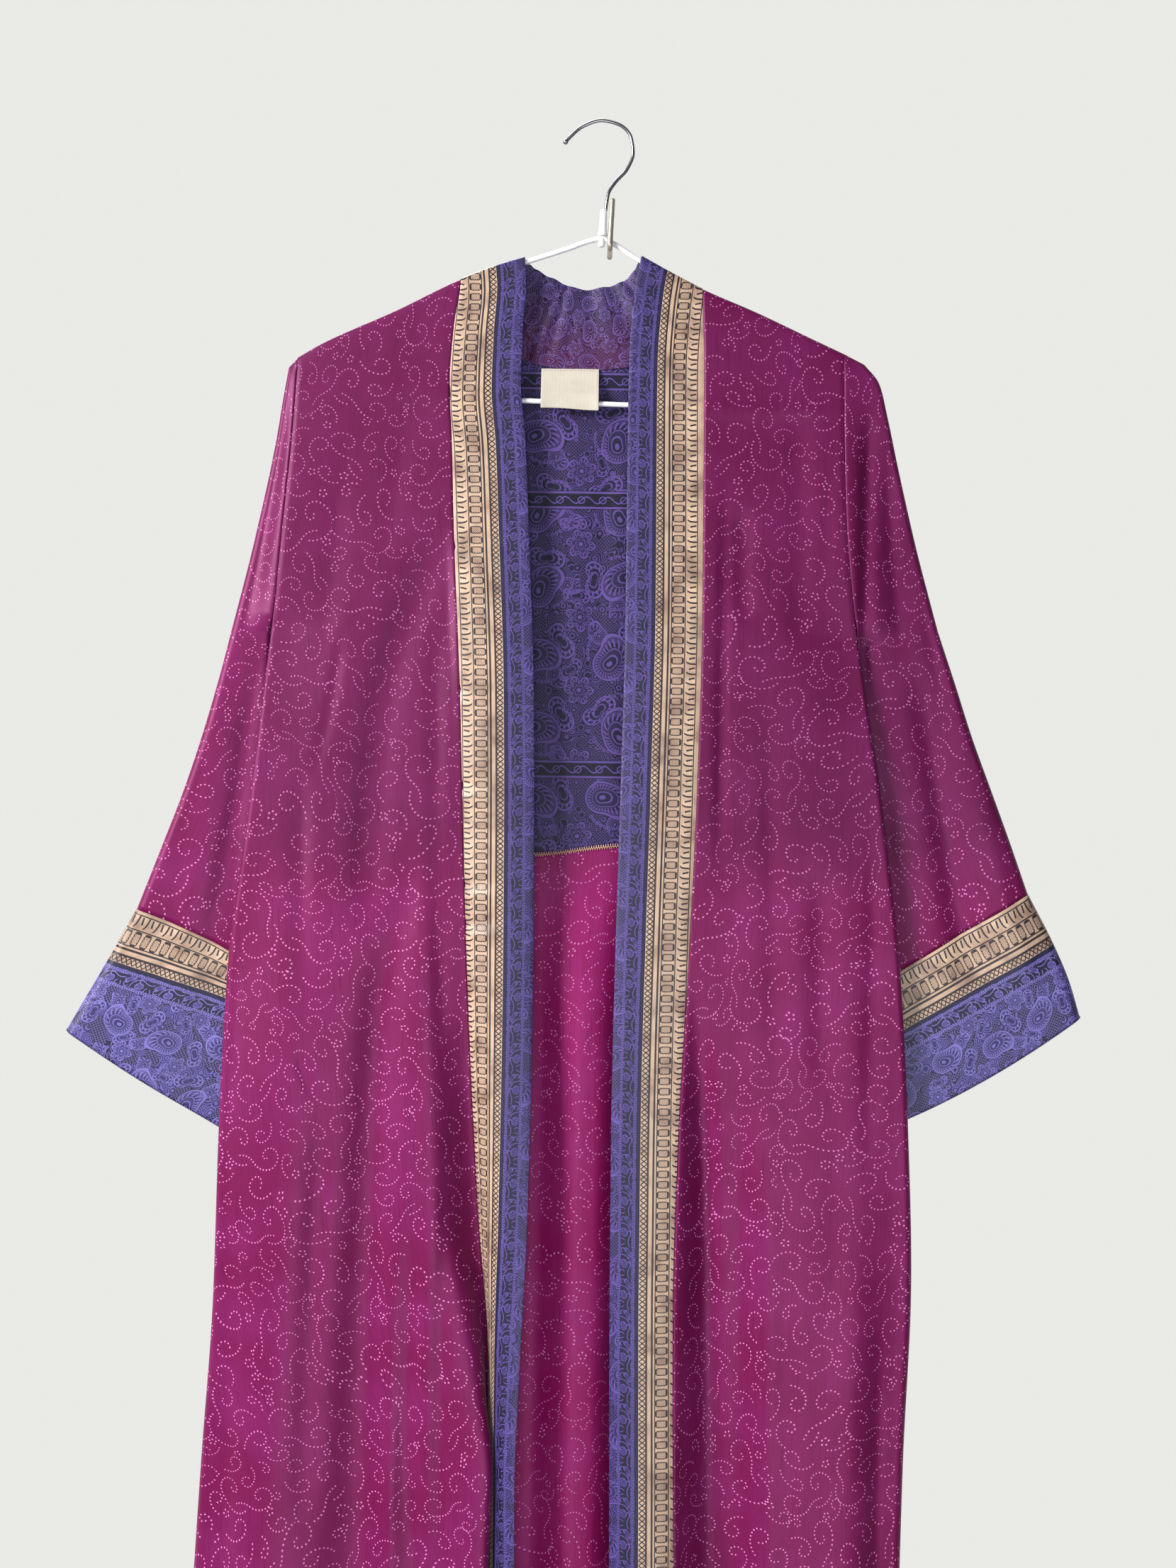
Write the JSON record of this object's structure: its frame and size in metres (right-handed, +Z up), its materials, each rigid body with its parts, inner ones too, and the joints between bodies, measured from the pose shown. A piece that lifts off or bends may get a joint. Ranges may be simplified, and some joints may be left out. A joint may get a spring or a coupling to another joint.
{
  "type": "kimono robe on a wire hanger",
  "caption": "Long open silk robe with wide front bands, neck band and cuffs, hanging from a wire hanger on an L-shaped wall hook.",
  "frame": {"origin": "where the wall hook's level shank meets the wall, on the shank's axis", "axes": "+Z up, +Y into the wall, +X to the right as one looks at the wall"},
  "size_m": [0.7946, 0.0645, 1.3112],
  "materials": {
    "magenta_silk": "soft satin silk with a small dotted print",
    "violet_silk": "soft satin silk with a violet print",
    "brocade": "woven gold border beside violet silk",
    "label_tape": "matt woven tape",
    "white_coating": "smooth white coating",
    "bright_wire": "polished steel wire",
    "nickel": "worn nickel plate"
  },
  "bodies": {
    "root": {"front_left": "magenta_silk", "front_right": "magenta_silk", "back_lower": "magenta_silk", "sleeve_left": "magenta_silk", "sleeve_right": "magenta_silk", "back_upper": "violet_silk", "neck_band": "violet_silk", "band_left": "brocade", "band_right": "brocade", "cuff_left": "brocade", "cuff_right": "brocade", "label": "label_tape", "hanger_frame": "white_coating", "hanger_neck": "white_coating", "hanger_hook": "bright_wire", "wall_hook": "nickel"}
  },
  "joints": []
}
